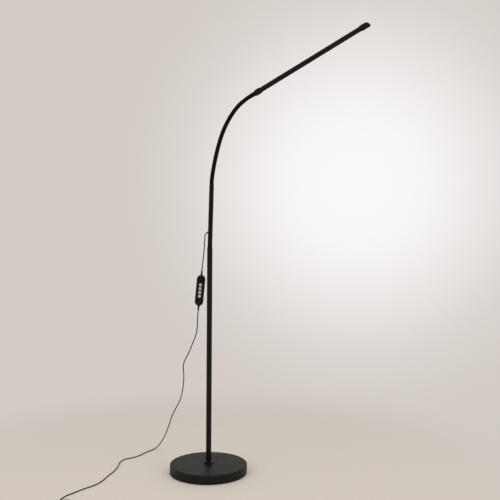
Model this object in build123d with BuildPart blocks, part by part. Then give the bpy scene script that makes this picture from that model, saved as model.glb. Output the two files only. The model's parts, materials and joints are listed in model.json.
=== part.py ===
from build123d import *
import math
import os

# Gooseneck reading floor lamp, in millimetres.
# The origin is the centre of the foot on the floor, under the pole's axis. +Z is up, the head
# reaches out to +X, and the controller's buttons face -Y.

os.makedirs("parts", exist_ok=True)

# ---------------------------------------------------------------- clearances
fit_gap = 0.05  # radial, of turned and drilled fits
moulded_gap = 0.15  # between moulded or bent pieces that slot together
face_gap = 0.1  # between flat faces that slide on each other

# ---------------------------------------------------------------- foot
base_d = 230.0
base_cover_wall = 1.5
base_edge_radius = 3.0
rim_height = 1.0  # the cover's rim above the floor
pad_thickness = 1.5
pad_inset = 3.0
plate_thickness = 1.5
plate_gap = 0.3
weight_thickness = 12.0
weight_gap = 0.5
under_stud_gap = 1.4  # between the stud's end and the closing plate
boss_count = 3
boss_circle_d = 160.0
boss_d = 14.0
plate_screw_d = 4.0
plate_screw_head_d = 7.0
plate_screw_length = 9.0
plate_screw_bore = 9.8

# ---------------------------------------------------------------- pole
pole_d = 16.0
pole_wall = 1.0
pole_section_length = 322.0
stud_d = 8.0
stud_grip = 12.0  # how far a stud goes into an insert
stud_end = 1.0  # what stands out of the nut
insert_length = 16.0
washer_d = 18.0
washer_thickness = 1.6
nut_width = 13.0
nut_height = 6.5
collar_d = 28.0
collar_height = 5.0
collar_edge = 1.5

# ---------------------------------------------------------------- rigid lower neck
plug_flange = 3.0
plug_spigot = 14.0
neck_lean = 1.3  # degrees from upright
ferrule_wall = 0.65
ferrule_length = 185.0
gland_height = 48.0  # along the ferrule
gland_droop = 30.0  # degrees below level
gland_d = 5.2
gland_tip_d = 4.4
gland_tip_length = 2.0
gland_reach = 10.6  # from the ferrule's axis to the tip
gland_flange_d = 6.8
gland_flange_at = 3.2
gland_flange_thickness = 1.4

# ---------------------------------------------------------------- flexible neck
neck_d = 12.6
neck_bore_d = 4.4
neck_joint_count = 10
neck_in_ferrule = 25.0
# (length, degrees of bend) of each stretch, from the ferrule's mouth to the head
neck_bends = [(36.0, 6.8), (105.0, 8.5), (90.0, 17.5), (60.0, 21.5), (12.0, 2.5)]
socket_gap = 0.3
socket_rim = 2.6  # from a joint's centre to the rim of the socket that turns on it
lead_d = 2.6
lead_end_gap = 0.6
end_fitting_d = 13.8
end_fitting_length = 14.0
nipple_d = 8.0
nipple_end = 1.5
swivel_washer_d = 13.0
swivel_washer_thickness = 1.0
swivel_nut_width = 12.0
swivel_nut_height = 4.0

# ---------------------------------------------------------------- head
head_roll = 12.0  # degrees about its own length, light turned from the viewer
cap_side_overhang = 1.5  # of the caps past the housing, each side
cap_face_overhang = 1.75  # of the caps past the housing, top and bottom
cap_wall = 2.0
cap_edge = 1.6
near_cap_length = 18.0
near_cap_top_radius = 8.0
near_cap_bottom_radius = 3.0
near_cap_end_wall = 7.5
far_cap_length = 22.9
far_cap_top_radius = 14.0
far_cap_bottom_radius = 2.5
far_cap_pocket = 12.0
housing_length = 357.5
housing_width = 30.0
housing_thickness = 14.5
housing_wall = 1.5
housing_top_radius = 2.5
housing_waist = 8.75  # from the top down to where the sides start to lean in
housing_taper = 1.2
rib_depth = 1.7
rib_thickness = 1.0
lip_height = 2.0
lip_depth = 1.0
diffuser_thickness = 1.9
tongue_length = 8.0
tongue_thickness = 2.85
tongue_height = 7.6
tongue_root = 10.0  # its length inside the cap
board_side_gap = 2.5
board_thickness = 1.2
led_rows = 2
led_row_pitch = 10.0
led_pitch = 14.5
led_end_gap = 12.0  # least, from the last diode's centre to the board's end
led_size = 3.2
led_thickness = 0.8
cap_screw_d = 2.5
cap_screw_head_d = 4.6
cap_screw_head_height = 1.4
cap_screw_length = 4.0

# ---------------------------------------------------------------- in-line controller
controller_x = -28.5  # of its centre
controller_drop = 126.9  # of its centre below the pole's top
controller_tilt = 5.0  # degrees, its top towards the pole
controller_length = 92.0
controller_width = 25.0
controller_half = 6.5  # half of its thickness
controller_wall = 1.5
controller_edge = 1.5
button_d = 9.0
button_first = 16.3  # the top button above the centre
button_spacing = 0.6  # between the flanges of two buttons
button_proud = 0.6
button_travel = 0.5
button_lip = 0.8  # of a button's flange, all round
button_flange_thickness = 0.9
board_inset = 2.2
controller_board_end_gap = 6.5
controller_board_thickness = 1.4
switch_size = 6.0
indicator_inset = 9.7  # from the lower end
indicator_d = 2.0
shell_screw_insets = (13.0, 17.5)  # from the upper and the lower end
shell_screw_d = 1.6
shell_screw_head_d = 3.8
shell_screw_head_height = 1.2
shell_screw_length = 7.5
shell_boss_d = 5.0
counterbore_depth = 3.0
relief_root_d = 6.8
relief_neck_d = 5.2
relief_flange_d = 6.4
relief_seat_gap = 0.5  # between a relief's flange and the wall that it is slotted into
relief_tip_d = 5.0
relief_length = 13.5

# ---------------------------------------------------------------- cord
cord_d = 3.2
cord_length_share = 0.45  # of the shorter run beside a bend, taken up by its arc
relief_straight = 20.0  # run of cord in line with a relief of the controller
cord_hang_height = 486.32  # of the lower relief's tip, that the hanging points are given for
cord_last_run = 29.0  # run of cord in line with the coil's start
coil_start = (-379.0, -267.0)
coil_outer_radius = 22.0
coil_turn_gap = 0.55
coil_turns_per_layer = 3
coil_exit_run = 6.0
coil_rise_radius = 20.0

# ---------------------------------------------------------------- wall adapter
adapter_length = 52.0
adapter_height = 30.0
adapter_depth = 23.0
adapter_base_thickness = 3.0
adapter_wall = 1.8
adapter_edge = 3.0
adapter_lip_depth = 2.0
blade_width = 6.3
blade_thickness = 1.5
blade_spacing = 12.7
blade_reach = 16.0
blade_inside = 4.0
adapter_relief_length = 14.0
adapter_board = (1.6, 38.0, 20.0)
adapter_transformer = (12.0, 14.0, 16.0)
adapter_transformer_at = 6.0


# ---------------------------------------------------------------- shapes used more than once
def tube(start, outer_d, wall, length):
    """A round tube that stands on the plane start."""
    with BuildPart() as piece:
        with BuildSketch(start):
            Circle(outer_d / 2)
            Circle(outer_d / 2 - wall, mode=Mode.SUBTRACT)
        extrude(amount=length)
    return piece


def turned(start, outline):
    """A turned piece: its outline is (radius, height) about the z axis of the plane start."""
    half_plane = Plane(origin=start.origin, x_dir=start.x_dir, z_dir=-start.y_dir)
    with BuildPart() as piece:
        with BuildSketch(half_plane):
            with BuildLine():
                Polyline(*outline, close=True)
            make_face()
        revolve(axis=Axis(start.origin, start.z_dir))
    return piece


def hexagon_nut(start, width, height, bore_d):
    """A hexagon nut that stands on the plane start, its corners turned back."""
    corner_r = width / 2 / math.cos(math.radians(30))
    with BuildPart() as piece:
        with BuildSketch(start):
            RegularPolygon(radius=width / 2, side_count=6, major_radius=False)
        extrude(amount=height)
        with BuildSketch(start):
            Circle(corner_r - 0.2)
        extrude(amount=height, mode=Mode.INTERSECT)
        with BuildSketch(start):
            Circle(bore_d / 2)
        extrude(amount=height, mode=Mode.SUBTRACT)
    return piece


def direction(degrees_from_up):
    """A unit vector in the XZ plane, leaning to +X."""
    angle = math.radians(degrees_from_up)
    return Vector(math.sin(angle), 0, math.cos(angle))


def leaning_plane(origin, degrees_from_up):
    """A plane square to a line that leans to +X, with its y axis towards +Y."""
    return Plane(origin=origin, x_dir=direction(degrees_from_up + 90), z_dir=direction(degrees_from_up))


# ---------------------------------------------------------------- foot
base_r = base_d / 2
stud_r = stud_d / 2
plate_top = pad_thickness + plate_thickness
nut_bottom = plate_top + under_stud_gap + stud_end
washer_bottom = nut_bottom + nut_height
weight_bottom = washer_bottom + washer_thickness
cover_inside = weight_bottom + weight_thickness
base_top = cover_inside + base_cover_wall
base_cover_height = base_top - rim_height
plate_screw_r = plate_screw_d / 2

with BuildPart() as base_cover:
    with BuildSketch(Plane.XY.offset(rim_height)):
        Circle(base_r)
    extrude(amount=base_cover_height)
    fillet(base_cover.faces().sort_by(Axis.Z)[-1].edges(), base_edge_radius)
    offset(amount=-base_cover_wall, openings=base_cover.faces().sort_by(Axis.Z)[0])
    with BuildSketch(Plane.XY.offset(base_top)):
        Circle(stud_r + fit_gap)
    extrude(amount=-2 * base_cover_wall, mode=Mode.SUBTRACT)
base_cover.part.label = "base_cover"
export_step(base_cover.part, "parts/base_cover.step")

with BuildPart() as base_weight:
    with BuildSketch(Plane.XY.offset(weight_bottom)):
        Circle(base_r - base_cover_wall - weight_gap)
    extrude(amount=weight_thickness)
    chamfer(base_weight.faces().sort_by(Axis.Z)[-1].edges(), base_edge_radius)
    with BuildSketch(Plane.XY.offset(plate_top)):
        with PolarLocations(boss_circle_d / 2, boss_count):
            Circle(boss_d / 2)
    extrude(amount=weight_bottom - plate_top)
    with BuildSketch(Plane.XY.offset(plate_top)):
        with PolarLocations(boss_circle_d / 2, boss_count):
            Circle(plate_screw_r + fit_gap)
    extrude(amount=plate_screw_bore, mode=Mode.SUBTRACT)
    with BuildSketch(Plane.XY.offset(cover_inside)):
        Circle(stud_r + fit_gap)
    extrude(amount=-weight_thickness, mode=Mode.SUBTRACT)
base_weight.part.label = "base_weight"
export_step(base_weight.part, "parts/base_weight.step")

with BuildPart() as base_plate:
    with BuildSketch(Plane.XY.offset(pad_thickness)):
        Circle(base_r - base_cover_wall - plate_gap)
    extrude(amount=plate_thickness)
    with Locations(Plane.XY.offset(pad_thickness)):
        with PolarLocations(boss_circle_d / 2, boss_count):
            Cone(
                plate_screw_head_d / 2 + fit_gap,
                plate_screw_r + fit_gap,
                plate_thickness,
                align=(Align.CENTER, Align.CENTER, Align.MIN),
                mode=Mode.SUBTRACT,
            )
base_plate.part.label = "base_plate"
export_step(base_plate.part, "parts/base_plate.step")

with BuildPart() as base_plate_screws:
    with Locations(Plane.XY.offset(pad_thickness)):
        with PolarLocations(boss_circle_d / 2, boss_count):
            Cone(
                plate_screw_head_d / 2,
                plate_screw_r,
                plate_thickness,
                align=(Align.CENTER, Align.CENTER, Align.MIN),
            )
            Cylinder(plate_screw_r, plate_screw_length, align=(Align.CENTER, Align.CENTER, Align.MIN))
base_plate_screws.part.label = "base_plate_screws"
export_step(base_plate_screws.part, "parts/base_plate_screws.step")

with BuildPart() as base_pad:
    with BuildSketch():
        Circle(base_r - base_cover_wall - pad_inset)
    extrude(amount=pad_thickness)
base_pad.part.label = "base_pad"
export_step(base_pad.part, "parts/base_pad.step")

# ---------------------------------------------------------------- pole
pole_r = pole_d / 2
pole_joint = base_top + pole_section_length
pole_top = pole_joint + pole_section_length
insert_starts = (base_top, pole_joint - insert_length, pole_joint, pole_top - insert_length)

base_washer = tube(
    Plane.XY.offset(washer_bottom), washer_d, washer_d / 2 - stud_r - fit_gap, washer_thickness
)
base_washer.part.label = "base_washer"
export_step(base_washer.part, "parts/base_washer.step")

base_nut = hexagon_nut(Plane.XY.offset(nut_bottom), nut_width, nut_height, stud_d + 2 * fit_gap)
base_nut.part.label = "base_nut"
export_step(base_nut.part, "parts/base_nut.step")

with BuildPart() as base_stud:
    with BuildSketch(Plane.XY.offset(nut_bottom - stud_end)):
        Circle(stud_r)
    extrude(amount=base_top + stud_grip - nut_bottom + stud_end)
base_stud.part.label = "base_stud"
export_step(base_stud.part, "parts/base_stud.step")

with BuildPart() as pole_collar:
    with BuildSketch(Plane.XY.offset(base_top)):
        Circle(collar_d / 2)
        Circle(pole_r + fit_gap, mode=Mode.SUBTRACT)
    extrude(amount=collar_height)
    fillet(pole_collar.faces().sort_by(Axis.Z)[-1].edges().sort_by(SortBy.RADIUS)[-1], collar_edge)
pole_collar.part.label = "pole_collar"
export_step(pole_collar.part, "parts/pole_collar.step")

pole_lower = tube(Plane.XY.offset(base_top), pole_d, pole_wall, pole_section_length)
pole_lower.part.label = "pole_lower"
export_step(pole_lower.part, "parts/pole_lower.step")

pole_upper = tube(Plane.XY.offset(pole_joint), pole_d, pole_wall, pole_section_length)
pole_upper.part.label = "pole_upper"
export_step(pole_upper.part, "parts/pole_upper.step")

with BuildPart() as pole_inserts:
    for insert_start in insert_starts:
        with BuildSketch(Plane.XY.offset(insert_start)):
            Circle(pole_r - pole_wall - fit_gap)
            Circle(stud_r + fit_gap, mode=Mode.SUBTRACT)
        extrude(amount=insert_length)
pole_inserts.part.label = "pole_inserts"
export_step(pole_inserts.part, "parts/pole_inserts.step")

with BuildPart() as pole_joint_stud:
    with BuildSketch(Plane.XY.offset(pole_joint - stud_grip)):
        Circle(stud_r)
    extrude(amount=2 * stud_grip)
pole_joint_stud.part.label = "pole_joint_stud"
export_step(pole_joint_stud.part, "parts/pole_joint_stud.step")

# ---------------------------------------------------------------- rigid lower neck
neck_r = neck_d / 2
ferrule_bore_r = neck_r + fit_gap
ferrule_r = ferrule_bore_r + ferrule_wall
neck_foot = leaning_plane((0, 0, pole_top + plug_flange), neck_lean)
gland_origin = neck_foot.origin + neck_foot.z_dir * gland_height
gland = leaning_plane(gland_origin, -90 - gland_droop)
gland_flange_end = gland_flange_at + gland_flange_thickness

with BuildPart() as neck_plug:
    with BuildSketch(Plane.XY.offset(pole_top - stud_grip)):
        Circle(stud_r)
    extrude(amount=stud_grip)
    with BuildSketch(Plane.XY.offset(pole_top)):
        Circle(pole_r)
    extrude(amount=2 * plug_flange)
    split(bisect_by=neck_foot, keep=Keep.BOTTOM)
    with BuildSketch(neck_foot):
        Circle(ferrule_bore_r - fit_gap)
    extrude(amount=plug_spigot)
neck_plug.part.label = "neck_plug"
export_step(neck_plug.part, "parts/neck_plug.step")

with BuildPart() as neck_ferrule:
    with BuildSketch(neck_foot):
        Circle(ferrule_r)
        Circle(ferrule_bore_r, mode=Mode.SUBTRACT)
    extrude(amount=ferrule_length)
    with BuildSketch(gland):
        Circle(gland_d / 2 + fit_gap)
    extrude(amount=gland_reach, mode=Mode.SUBTRACT)
neck_ferrule.part.label = "neck_ferrule"
export_step(neck_ferrule.part, "parts/neck_ferrule.step")

cord_gland = turned(
    gland,
    [
        (0, gland_flange_at),
        (gland_flange_d / 2, gland_flange_at),
        (gland_flange_d / 2, gland_flange_end),
        (gland_d / 2, gland_flange_end),
        (gland_d / 2, gland_reach - gland_tip_length),
        (gland_tip_d / 2, gland_reach),
        (0, gland_reach),
    ],
)
cord_gland.part.label = "cord_gland"
export_step(cord_gland.part, "parts/cord_gland.step")

# ---------------------------------------------------------------- flexible neck
neck_bore_r = neck_bore_d / 2
socket_r = neck_r + socket_gap
neck_mouth = neck_foot.origin + neck_foot.z_dir * ferrule_length
neck_length = sum(length for length, _ in neck_bends)
neck_pitch = neck_length / neck_joint_count


def neck_at(distance):
    """The plane square to the neck's centre line at a distance from the ferrule's mouth."""
    x, z, lean = neck_mouth.X, neck_mouth.Z, neck_lean
    for length, bend in neck_bends:
        part = min(distance, length)
        radius = length / math.radians(bend)
        next_lean = lean + bend * part / length
        x += radius * (math.cos(math.radians(lean)) - math.cos(math.radians(next_lean)))
        z += radius * (math.sin(math.radians(next_lean)) - math.sin(math.radians(lean)))
        lean = next_lean
        distance -= part
    return leaning_plane((x, 0, z), lean)


def neck_section(first, last, socket, ball):
    """One link of the neck between two points, with a slice of the lead in its bore.

    The slice runs on through the link's own ball and starts clear of the ball in its socket.
    """
    along = (last - first).normalized()
    length = (last - first).length
    across = Vector(along.Z, 0, -along.X)
    start = Plane(origin=first, x_dir=across, z_dir=along)
    low = math.asin(socket_rim / socket_r)
    high = math.acos(neck_bore_r / socket_r)
    tip = math.acos(neck_bore_r / neck_r)

    def on_circle(radius, angle, height=0.0):
        return (radius * math.cos(angle), height + radius * math.sin(angle))

    with BuildPart() as piece:
        with BuildSketch(Plane(origin=first, x_dir=across, z_dir=(0, -1, 0))):
            with BuildLine():
                if socket:
                    inner, middle, rim = (on_circle(socket_r, a) for a in (high, (high + low) / 2, low))
                    ThreePointArc(inner, middle, rim)
                    Line(rim, (neck_r, socket_rim))
                    side_start = (neck_r, socket_rim)
                else:
                    inner = (neck_bore_r, 0)
                    side_start = (neck_r, 0)
                    Line(inner, side_start)
                side_end = (neck_r, length)
                Line(side_start, side_end)
                if ball:
                    outer = on_circle(neck_r, tip, length)
                    ThreePointArc(side_end, on_circle(neck_r, tip / 2, length), outer)
                else:
                    outer = (neck_bore_r, length)
                    Line(side_end, outer)
                Line(outer, inner)
            make_face()
        revolve(axis=Axis(first, along))
        lead_start = (socket_r if socket else 0) + lead_end_gap
        lead_end = length + (neck_r if ball else 0) - lead_end_gap
        with BuildSketch(start.offset(lead_start)):
            Circle(lead_d / 2)
        extrude(amount=lead_end - lead_start)
    return piece


# the first link runs straight out of the ferrule, and the joints after it lie on the bent centre line
neck_joints = [neck_mouth + neck_foot.z_dir * neck_pitch / 2]
neck_joints += [neck_at((index + 0.5) * neck_pitch).origin for index in range(1, neck_joint_count)]
neck_end = neck_at(neck_length)

neck_start = neck_mouth - neck_foot.z_dir * neck_in_ferrule
neck_section_00 = neck_section(neck_start, neck_joints[0], socket=False, ball=True)
neck_section_00.part.label = "neck_section_00"
export_step(neck_section_00.part, "parts/neck_section_00.step")

for number in range(1, neck_joint_count):
    section = neck_section(neck_joints[number - 1], neck_joints[number], socket=True, ball=True)
    section.part.label = f"neck_section_{number:02d}"
    export_step(section.part, f"parts/neck_section_{number:02d}.step")

with BuildPart() as neck_section_end:
    add(neck_section(neck_joints[-1], neck_end.origin, socket=True, ball=False).part)
    split(bisect_by=neck_end, keep=Keep.BOTTOM)
neck_section_end.part.label = f"neck_section_{neck_joint_count:02d}"
export_step(neck_section_end.part, f"parts/neck_section_{neck_joint_count:02d}.step")

with BuildPart() as ferrule_lead:
    with BuildLine() as ferrule_lead_route:
        FilletPolyline(
            gland.origin + gland.z_dir * gland_flange_at,
            gland.origin,
            neck_start,
            radius=lead_d,
        )
    with BuildSketch(Plane(origin=gland.origin + gland.z_dir * gland_flange_at, z_dir=-gland.z_dir)):
        Circle(lead_d / 2)
    sweep(path=ferrule_lead_route.line)
ferrule_lead.part.label = "ferrule_lead"
export_step(ferrule_lead.part, "parts/ferrule_lead.step")

# ---------------------------------------------------------------- head
nipple_length = near_cap_end_wall + swivel_washer_thickness + swivel_nut_height + nipple_end
nipple_r = nipple_d / 2
cap_seat = end_fitting_length

neck_end_fitting = turned(
    neck_end,
    [
        (neck_bore_r, 0),
        (end_fitting_d / 2, 0),
        (end_fitting_d / 2, cap_seat - face_gap),
        (nipple_r, cap_seat - face_gap),
        (nipple_r, cap_seat + nipple_length),
        (neck_bore_r, cap_seat + nipple_length),
    ],
)
neck_end_fitting.part.label = "neck_end_fitting"
export_step(neck_end_fitting.part, "parts/neck_end_fitting.step")

roll = math.radians(head_roll)
unrolled = neck_end.offset(cap_seat)
head = Plane(
    origin=unrolled.origin,
    x_dir=unrolled.y_dir * math.cos(roll) - unrolled.x_dir * math.sin(roll),
    z_dir=unrolled.z_dir,
)
head_side = Plane(origin=head.origin, x_dir=head.z_dir, z_dir=-head.x_dir)
head_axis = Axis(head.origin, head.z_dir)
head_width_axis = Axis(head.origin, head.x_dir)
housing_start = near_cap_length
housing_end = housing_start + housing_length
housing_top = housing_thickness / 2
cap_width = housing_width + 2 * cap_side_overhang
cap_thickness = housing_thickness + 2 * cap_face_overhang
ceiling = housing_top - housing_wall
lip_top = lip_height - housing_top
groove_top = lip_top + diffuser_thickness + 2 * face_gap
inner_half = housing_width / 2 - housing_wall
tongue_centre = ceiling - moulded_gap - tongue_height / 2
washer_at = near_cap_end_wall + face_gap

swivel_washer = tube(
    head.offset(washer_at),
    swivel_washer_d,
    swivel_washer_d / 2 - nipple_r - fit_gap,
    swivel_washer_thickness,
)
swivel_washer.part.label = "swivel_washer"
export_step(swivel_washer.part, "parts/swivel_washer.step")

swivel_nut = hexagon_nut(
    head.offset(washer_at + swivel_washer_thickness),
    swivel_nut_width,
    swivel_nut_height,
    nipple_d + 2 * fit_gap,
)
swivel_nut.part.label = "swivel_nut"
export_step(swivel_nut.part, "parts/swivel_nut.step")

near_screw_at = housing_start + tongue_length / 2
far_screw_at = housing_end - tongue_length / 2
cap_screw_r = cap_screw_d / 2


def rear_plane(along):
    """The plane of the housing's rear side, its origin level with the cap screws."""
    origin = head.from_local_coords(Vector(housing_width / 2, tongue_centre, along))
    return Plane(origin=origin, x_dir=head.z_dir, z_dir=head.x_dir)


def head_cap(joint_at, free_at, pocket_end, top_radius, bottom_radius, screw_at):
    """An end cap: a block rounded at its free end, hollowed, with two tongues for the housing."""
    outward = 1 if free_at > joint_at else -1
    free_end, joint_end = (-1, 0) if free_at > joint_at else (0, -1)
    half = cap_thickness / 2
    root_x = cap_width / 2 - cap_wall
    tip_x = inner_half - moulded_gap
    foot_x = tip_x - tongue_thickness
    with BuildPart() as piece:
        with BuildSketch(head_side) as outline:
            with BuildLine():
                Polyline((joint_at, -half), (free_at, -half), (free_at, half), (joint_at, half), close=True)
            make_face()
            fillet(outline.vertices().group_by(Axis.X)[free_end].sort_by(Axis.Y)[-1], top_radius)
            fillet(outline.vertices().group_by(Axis.X)[free_end].sort_by(Axis.Y)[0], bottom_radius)
        extrude(amount=cap_width / 2, both=True)
        side_edges = []
        for side in (0, -1):
            around = piece.faces().sort_by(head_width_axis)[side].edges().sort_by(head_axis)
            around.remove(around[joint_end])
            side_edges += around
        fillet(side_edges, cap_edge)
        with BuildSketch(head.offset(joint_at)):
            Rectangle(cap_width - 2 * cap_wall, cap_thickness - 2 * cap_wall)
        extrude(amount=pocket_end - joint_at, mode=Mode.SUBTRACT)
        for side in (-1, 1):
            with BuildSketch(head.offset(joint_at)):
                with Locations((side * (tip_x + foot_x) / 2, tongue_centre)):
                    Rectangle(tongue_thickness, tongue_height)
            extrude(amount=-outward * tongue_length)
            with BuildSketch(head.offset(joint_at)):
                with Locations((side * (root_x + foot_x) / 2, tongue_centre)):
                    Rectangle(root_x - foot_x, tongue_height)
            extrude(amount=outward * tongue_root)
        with BuildSketch(rear_plane(screw_at)):
            Circle(cap_screw_r + fit_gap)
        extrude(amount=-housing_width / 4, mode=Mode.SUBTRACT)
    return piece


with BuildPart() as head_near_cap:
    add(
        head_cap(
            housing_start,
            0,
            near_cap_end_wall,
            near_cap_top_radius,
            near_cap_bottom_radius,
            near_screw_at,
        ).part
    )
    with BuildSketch(head):
        Circle(nipple_r + fit_gap)
    extrude(amount=near_cap_end_wall, mode=Mode.SUBTRACT)
head_near_cap.part.label = "head_near_cap"
export_step(head_near_cap.part, "parts/head_near_cap.step")

far_end = housing_end + far_cap_length
head_far_cap = head_cap(
    housing_end,
    far_end,
    housing_end + far_cap_pocket,
    far_cap_top_radius,
    far_cap_bottom_radius,
    far_screw_at,
)
head_far_cap.part.label = "head_far_cap"
export_step(head_far_cap.part, "parts/head_far_cap.step")

with BuildPart() as head_cap_screws:
    for screw_at in (near_screw_at, far_screw_at):
        with BuildSketch(rear_plane(screw_at)):
            Circle(cap_screw_head_d / 2)
        extrude(amount=cap_screw_head_height)
        with BuildSketch(rear_plane(screw_at)):
            Circle(cap_screw_r)
        extrude(amount=-cap_screw_length)
head_cap_screws.part.label = "head_cap_screws"
export_step(head_cap_screws.part, "parts/head_cap_screws.step")

with BuildPart() as head_housing:
    with BuildSketch(head.offset(housing_start)) as section:
        half_width = housing_width / 2
        waist = housing_top - housing_waist
        lower_half = half_width - housing_taper
        groove_half = lower_half - housing_wall + lip_depth - fit_gap
        rib_half = inner_half - rib_depth
        lip_half = lower_half - housing_wall
        with BuildLine():
            Polyline(
                (-half_width, housing_top),
                (half_width, housing_top),
                (half_width, waist),
                (lower_half, -housing_top),
                (-lower_half, -housing_top),
                (-half_width, waist),
                close=True,
            )
        make_face()
        fillet(section.vertices().group_by(Axis.Y)[-1], housing_top_radius)
        with BuildLine():
            Polyline(
                (-inner_half, ceiling),
                (inner_half, ceiling),
                (inner_half, groove_top + rib_thickness),
                (rib_half, groove_top + rib_thickness),
                (rib_half, groove_top),
                (groove_half, groove_top),
                (groove_half, lip_top),
                (lip_half, lip_top),
                (lip_half, -housing_top),
                (-lip_half, -housing_top),
                (-lip_half, lip_top),
                (-groove_half, lip_top),
                (-groove_half, groove_top),
                (-rib_half, groove_top),
                (-rib_half, groove_top + rib_thickness),
                (-inner_half, groove_top + rib_thickness),
                close=True,
            )
        make_face(mode=Mode.SUBTRACT)
    extrude(amount=housing_length)
    for screw_at in (near_screw_at, far_screw_at):
        with BuildSketch(rear_plane(screw_at)):
            Circle(cap_screw_r + fit_gap)
        extrude(amount=-2 * housing_wall, mode=Mode.SUBTRACT)
head_housing.part.label = "head_housing"
export_step(head_housing.part, "parts/head_housing.step")

with BuildPart() as head_diffuser:
    with BuildSketch(head.offset(housing_start)):
        with Locations((0, lip_top + face_gap + diffuser_thickness / 2)):
            Rectangle(2 * (groove_half - moulded_gap), diffuser_thickness)
    extrude(amount=housing_length)
head_diffuser.part.label = "head_diffuser"
export_step(head_diffuser.part, "parts/head_diffuser.step")

led_board_start = housing_start + tongue_length + 1
led_board_length = housing_length - 2 * (tongue_length + 1)
led_columns = 1 + int((led_board_length - 2 * led_end_gap) / led_pitch)
led_board_bottom = ceiling - board_thickness
with BuildPart() as led_board:
    with BuildSketch(head.offset(led_board_start)):
        with Locations((0, ceiling - board_thickness / 2)):
            Rectangle(2 * (inner_half - board_side_gap), board_thickness)
    extrude(amount=led_board_length)
led_board.part.label = "led_board"
export_step(led_board.part, "parts/led_board.step")

led_plane = Plane(
    origin=head.offset(housing_start + housing_length / 2).origin, x_dir=head.z_dir, z_dir=-head.y_dir
)
with BuildPart() as led_chips:
    with BuildSketch(led_plane.offset(-led_board_bottom)):
        with GridLocations(led_pitch, led_row_pitch, led_columns, led_rows):
            Rectangle(led_size, led_size)
    extrude(amount=led_thickness)
led_chips.part.label = "led_chips"
export_step(led_chips.part, "parts/led_chips.step")

# ---------------------------------------------------------------- lead in the head
lead_drop = led_board_bottom - fit_gap - lead_d / 2
head_lead_corners = [
    (washer_at + swivel_washer_thickness + swivel_nut_height + nipple_end + 0.5, 0),
    (housing_start - 2, 0),
    (housing_start + tongue_length, lead_drop),
    (housing_start + tongue_length + 6, lead_drop),
]
with BuildPart() as head_lead:
    with BuildLine(head_side) as head_lead_route:
        FilletPolyline(*head_lead_corners, radius=2 * lead_d)
    with BuildSketch(head.offset(head_lead_corners[0][0])):
        Circle(lead_d / 2)
    sweep(path=head_lead_route.line)
head_lead.part.label = "head_lead"
export_step(head_lead.part, "parts/head_lead.step")

# ---------------------------------------------------------------- in-line controller
tilt = direction(controller_tilt)
controller_centre = Vector(controller_x, 0, pole_top - controller_drop)
controller = Plane(origin=controller_centre, x_dir=direction(controller_tilt + 90), z_dir=(0, -1, 0))
front_inside = controller_half - controller_wall
half_length = controller_length / 2
button_flange_d = button_d + 2 * button_lip
button_pitch = button_flange_d + button_spacing
button_places = [(0, button_first - index * button_pitch) for index in range(4)]
indicator_at = indicator_inset - half_length
shell_screw_places = [
    (0, half_length - shell_screw_insets[0]),
    (0, shell_screw_insets[1] - half_length),
]
button_bottom = front_inside - face_gap - button_flange_thickness
button_top = controller_half + button_proud
switch_top = button_bottom - button_travel - face_gap
controller_top = Plane(
    origin=controller.origin + tilt * half_length, x_dir=controller.x_dir, z_dir=tilt
)
controller_bottom = Plane(
    origin=controller.origin - tilt * half_length, x_dir=controller.x_dir, z_dir=-tilt
)

with BuildSketch() as controller_outline:
    SlotOverall(controller_length, controller_width, rotation=90)


def controller_shell(outward):
    """One half shell, open at the parting plane. outward is 1 for the front, -1 for the back."""
    with BuildPart() as piece:
        with BuildSketch(controller):
            add(controller_outline.sketch)
        extrude(amount=outward * controller_half)
        outer_face = piece.faces().sort_by(Axis(controller.origin, controller.z_dir * outward))[-1]
        fillet(outer_face.edges(), controller_edge)
        with BuildSketch(controller):
            add(controller_outline.sketch)
            offset(amount=-controller_wall)
        extrude(amount=outward * front_inside, mode=Mode.SUBTRACT)
        for end in (controller_top, controller_bottom):
            with BuildSketch(end):
                Circle(relief_neck_d / 2 + fit_gap)
            extrude(amount=-2 * controller_wall, mode=Mode.SUBTRACT)
    return piece


with BuildPart() as controller_front:
    add(controller_shell(1).part)
    with BuildSketch(controller.offset(controller_board_thickness)):
        with Locations(*shell_screw_places):
            Circle(shell_boss_d / 2)
    extrude(amount=front_inside - controller_board_thickness)
    with BuildSketch(controller):
        with Locations(*shell_screw_places):
            Circle(shell_screw_d / 2 + fit_gap)
    extrude(amount=front_inside, mode=Mode.SUBTRACT)
    with BuildSketch(controller.offset(controller_half)):
        with Locations(*button_places):
            Circle(button_d / 2 + face_gap)
        with Locations((0, indicator_at)):
            Circle(indicator_d / 2 + fit_gap)
    extrude(amount=-2 * controller_wall, mode=Mode.SUBTRACT)
controller_front.part.label = "controller_front"
export_step(controller_front.part, "parts/controller_front.step")

with BuildPart() as controller_back:
    add(controller_shell(-1).part)
    with BuildSketch(controller):
        with Locations(*shell_screw_places):
            Circle(shell_boss_d / 2)
    extrude(amount=-front_inside)
    with BuildSketch(controller):
        with Locations(*shell_screw_places):
            Circle(shell_screw_d / 2 + fit_gap)
    extrude(amount=-controller_half, mode=Mode.SUBTRACT)
    with BuildSketch(controller.offset(-controller_half)):
        with Locations(*shell_screw_places):
            Circle(shell_screw_head_d / 2 + fit_gap)
    extrude(amount=counterbore_depth, mode=Mode.SUBTRACT)
controller_back.part.label = "controller_back"
export_step(controller_back.part, "parts/controller_back.step")

with BuildPart() as controller_screws:
    with BuildSketch(controller.offset(counterbore_depth - controller_half)):
        with Locations(*shell_screw_places):
            Circle(shell_screw_head_d / 2)
    extrude(amount=-shell_screw_head_height)
    with BuildSketch(controller.offset(counterbore_depth - controller_half)):
        with Locations(*shell_screw_places):
            Circle(shell_screw_d / 2)
    extrude(amount=shell_screw_length)
controller_screws.part.label = "controller_screws"
export_step(controller_screws.part, "parts/controller_screws.step")

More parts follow.
